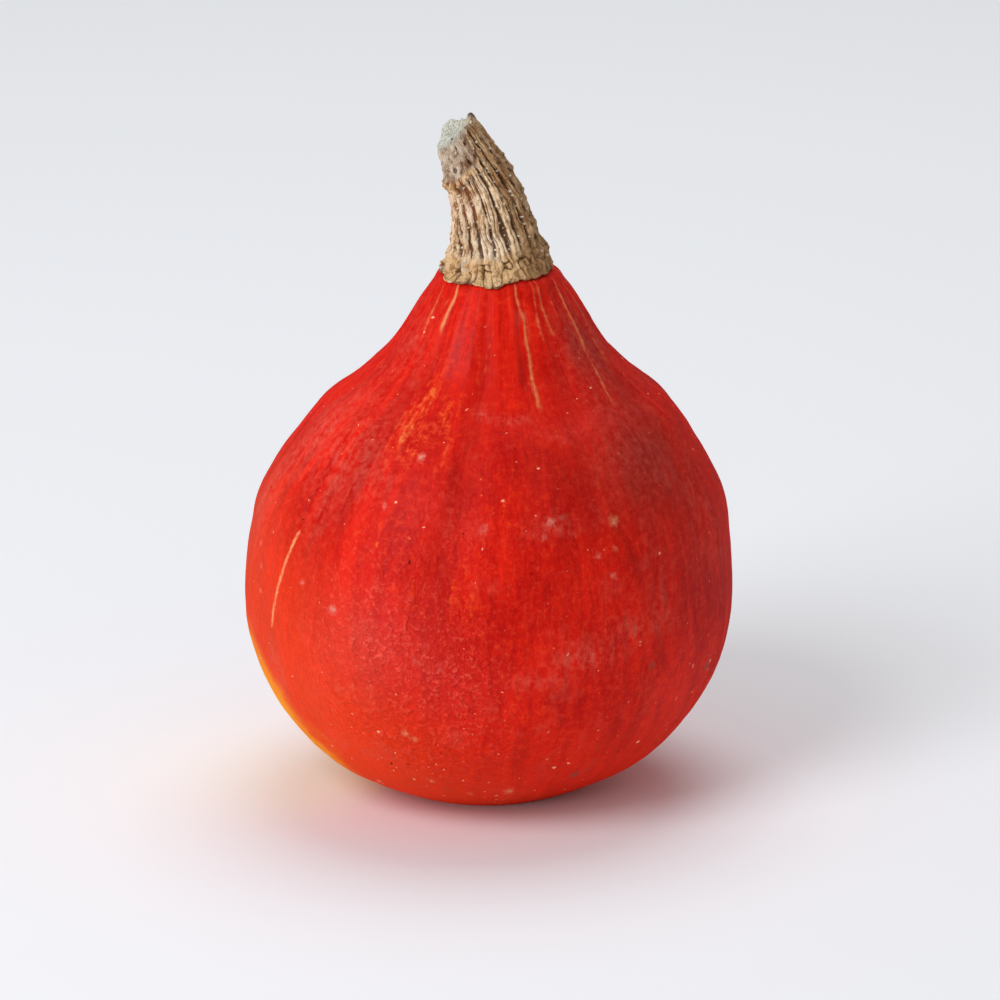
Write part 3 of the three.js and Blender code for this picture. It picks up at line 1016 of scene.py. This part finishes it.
# The underside lies on the skin, and the lip rounds up from its edge: rows of points
def seatAndLip(places, marks, fruitShape, settings):
    collar, angle = settings["collar"], places["angle"][0]
    body, knobs = marks["body"][0], marks["knobs"][0]
    edgeAzimuth, edgeReach = np.array(collar["edge"]).T
    creeps, middle = collar["byStrand"]
    reach = np.interp(places["azimuth"][0], edgeAzimuth, edgeReach) + creeps * (body - middle)
    reach = reach + stemLumps("collarEdge", settings, angle)
    outlineLength = alongCurve(outlineCurve, [0, 1])[2]

    def overSkin(out, height):
        onOutline, slope, _ = alongCurve(outlineCurve, 1 - out * reach / outlineLength)
        flat = skinAt(onOutline[:, 0], onOutline[:, 1], angle, fruitShape)
        away = np.stack([slope[:, 1] * np.cos(angle), slope[:, 1] * np.sin(angle), -slope[:, 0]], -1)
        return flat + away * height

    outs = np.linspace(0, 1, settings["rows"]["seat"]) ** settings["seatCrowding"]
    rows = [overSkin(out, collar["gap"]) for out in outs]
    allOver, onStrands, onKnobs = collar["lipShares"]
    lipRise = collar["lip"] * (allOver + onStrands * body + onKnobs * knobs)[:, None]
    for turn in np.linspace(0, math.pi / 2, settings["rows"]["lip"] + 1)[1:]:
        out = 1 + collar["lipBulge"] * math.sin(2 * turn)
        rows.append(overSkin(out, collar["gap"] + lipRise * math.sin(turn)))
    return rows


# The cut end, dished and fibrous, from its rim in to its middle
def cutFace(rim, rimRise, bump, inward, places, settings):
    cutEnd = settings["cutEnd"]
    dish = grow(inward, *cutEnd["dish"]) + hump(inward, *cutEnd["pith"])
    dish = dish - rimRise * smoothStep(inward, *cutEnd["rimFades"])
    dish = dish + bump * sum(hump(inward, *part) for part in cutEnd["besideBump"])
    outward = 1 - inward
    dish = dish + outward * stemLumps("cutFibres", settings, places["angle"][-1:], 0, outward)
    normal = np.insert(places["slope"][-1], 1, 0)
    toMiddle = inward[..., None]
    return rim * (1 - toMiddle) + rim.mean(0) * toMiddle + normal * dish[..., None]


# Marks of the whole stem: on its seat and lip, on its wall and on its cut end
def stemPaints(places, marks, bump, inward, seatRows, settings):
    show, share, azimuth = settings["marks"], places["share"], places["azimuth"]
    body, bare = marks["body"], marks["bare"]

    def whole(onSeat, onWall, onCut):
        seatPart = np.broadcast_to(onSeat, (seatRows, *onWall.shape[1:]))
        cutPart = np.broadcast_to(onCut, (len(inward), *onWall.shape[1:]))
        return np.concatenate([seatPart, onWall[1:], cutPart])

    turned = places["angle"] + settings["bark"]["twist"] * share
    reach = show["fibreReach"]
    barkPlace = np.stack([reach * np.cos(turned), reach * np.sin(turned), places["along"]], -1)
    toRight = plateau(azimuth, *show["toRight"])
    collar = 1 - smoothStep(places["along"], *settings["collar"]["fades"])
    allOver, onKnobs, onStrands = show["knob"]
    knobCrest = allOver + onKnobs * smoothStep(marks["knobs"], *show["knobsBetween"]) + onStrands * body
    knobCrest = knobCrest * (1 - show["crack"] * marks["cracks"])
    crest = body * (1 - show["seam"] * marks["seam"]) * (1 - collar) + knobCrest * collar
    cutShows, lessRight = show["cutShow"]
    redGroove = smoothStep(share, *show["redShares"]) * smoothStep(azimuth, *show["redAzimuths"])
    tones = np.random.default_rng(settings["seed"] + 1).random(settings["bark"]["strands"])
    onWallCut = smoothStep(share, 0.95, 1) * (cutShows - lessRight * toRight)
    return {
        "barkPlace": whole(barkPlace[:1], barkPlace, barkPlace[-1:] * (1 - inward[..., None])),
        "crest": whole(crest[:1], crest * (1 - bare) + show["bare"] * bare, 1),
        "warts": whole(0, marks["warts"] * (1 - bare) * (1 - show["fewWarts"] * collar), 0),
        "bare": whole(0, bare, 0),
        # pits in the bare wood, and painted shade in the hollows under the rolled ledge
        "pits": whole(0, marks["pits"] * bare + marks["hollows"], 0),
        "knob": whole(1, np.maximum(collar, marks["rolled"]), 0),
        "cut": whole(0, onWallCut, 1 - toRight[-1:] * grow(inward, *show["cutAside"])),
        "nub": whole(0, bump * smoothStep(share, 0.96, 1), bump * smoothStep(inward, 0.25, 0)),
        "strandTone": whole(0.5, tones[marks["strand"]], 0.5),
        "toRight": whole(toRight[:1], toRight, toRight[-1:] * (1 - inward)),
        "redGroove": whole(0, redGroove, 0),
    }


def makeStem(settings, fruitShape, shift):
    places = wallPlaces(settings)
    relief, marks = wallRelief(places, settings)
    rimRise, bump = rimAt(places["angle"], settings)
    seat = seatAndLip(places, marks, fruitShape, settings)
    fromLip = smoothStep(places["share"], 0, settings["collar"]["toWall"])[..., None]
    wall = seat[-1] * (1 - fromLip) + wallPoints(places, relief, rimRise, settings) * fromLip
    inward = np.linspace(0, 1, settings["rows"]["cut"] + 1)[1:, None]
    cut = cutFace(wall[-1], rimRise[-1:], bump[-1:], inward, places, settings)
    points = np.concatenate([seat, wall[1:], cut]) + shift
    paints = stemPaints(places, marks, bump[-1:], inward, len(seat), settings)
    piece = makeSkin("squashStem", points, paints)
    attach(piece, "root")
    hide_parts("stem")
    return piece


stem = makeStem(stemSettings, fruitSettings, frameShift)
print("stem shaped:", len(stem.data.polygons), "faces")


# Dried squash stem: corky bark, weathered to straw, over dark fibrous grooves. It is quite matt;
# the eye gets long pale strands, dark seams with tiny white corky warts, and a chalky cut end.
def makeCork(settings):
    material, fields, _ = startMaterial("driedCorkyStem", settings)
    tree = material.node_tree
    base = layCoats(tree, fields, settings)
    height = settings["bumpHeight"] * metresPerMm
    bump = addNode(tree, "Bump", {"Height": fields["relief"], "Strength": 1, "Distance": height})[0]
    shader = addNode(tree, "BsdfPrincipled", {
        "Base Color": base, "Roughness": settings["roughness"], "Normal": bump, "IOR": settings["ior"],
        "Specular IOR Level": settings["specular"],
    })
    addNode(tree, "OutputMaterial", {0: shader[0]})
    return material


stem.data.materials.append(makeCork(stemSettings["cork"]))
print("stem finished")


roomSettings = {
    "floorRadius": 6,
    "floorSides": 96,
    "floor": "#f6f6f6",
    "floorRoughness": 0.9,
    "floorSpecular": 0.1,
    "skyStrength": 0.34,
    "daylight": "#f4f8ff",
    # lamps: place in metres, width in metres, watts
    "lamps": {
        "key": ((-1.2, -1.3, 1.6), 1.3, 25),
        "window": ((-1.4, -1.3, 0.35), 0.7, 10),
        "top": ((0.1, 0.8, 2.2), 1.8, 22),
    },
    "aim": (0, 0, 0.09),
}


# Matt painted board, which gives the eye nothing but the soft shadow
def makeBoard(settings):
    material = bpy.data.materials.new("mattPaleBoard")
    material.use_nodes = True
    tree = material.node_tree
    tree.nodes.clear()
    shader = addNode(tree, "BsdfPrincipled", {
        "Base Color": linearColour(settings["floor"]), "Roughness": settings["floorRoughness"],
        "Specular IOR Level": settings["floorSpecular"],
    })
    addNode(tree, "OutputMaterial", {0: shader[0]})
    return material


def makeFloor(settings):
    mesh = bpy.data.meshes.new("floor")
    radius, sides = settings["floorRadius"], settings["floorSides"]
    corners = [(radius * math.cos(a), radius * math.sin(a), 0) for a in np.arange(sides) * fullTurn / sides]
    mesh.from_pydata(corners, [], [tuple(range(sides))])
    mesh.materials.append(makeBoard(settings))
    floor = bpy.data.objects.new("floor", mesh)
    scene.collection.objects.link(floor)


def makeLamp(name, place, width, watts, settings):
    data = bpy.data.lights.new(name, "AREA")
    data.shape = "DISK"
    data.size = width
    data.energy = watts
    data.color = linearColour(settings["daylight"])[:3]
    lamp = bpy.data.objects.new(name, data)
    lamp.location = place
    toLamp = Vector(place) - Vector(settings["aim"])
    lamp.rotation_euler = toLamp.to_track_quat("Z", "Y").to_euler()
    scene.collection.objects.link(lamp)


def makeSky(settings):
    world = bpy.data.worlds.new("softWhiteRoom")
    world.use_nodes = True
    background = world.node_tree.nodes["Background"]
    background.inputs[0].default_value = (1, 1, 1, 1)
    background.inputs[1].default_value = settings["skyStrength"]
    scene.world = world
    scene.view_settings.view_transform = "Standard"


makeFloor(roomSettings)
for lampName, (place, width, watts) in roomSettings["lamps"].items():
    makeLamp(lampName, place, width, watts, roomSettings)
makeSky(roomSettings)
print("room lit")
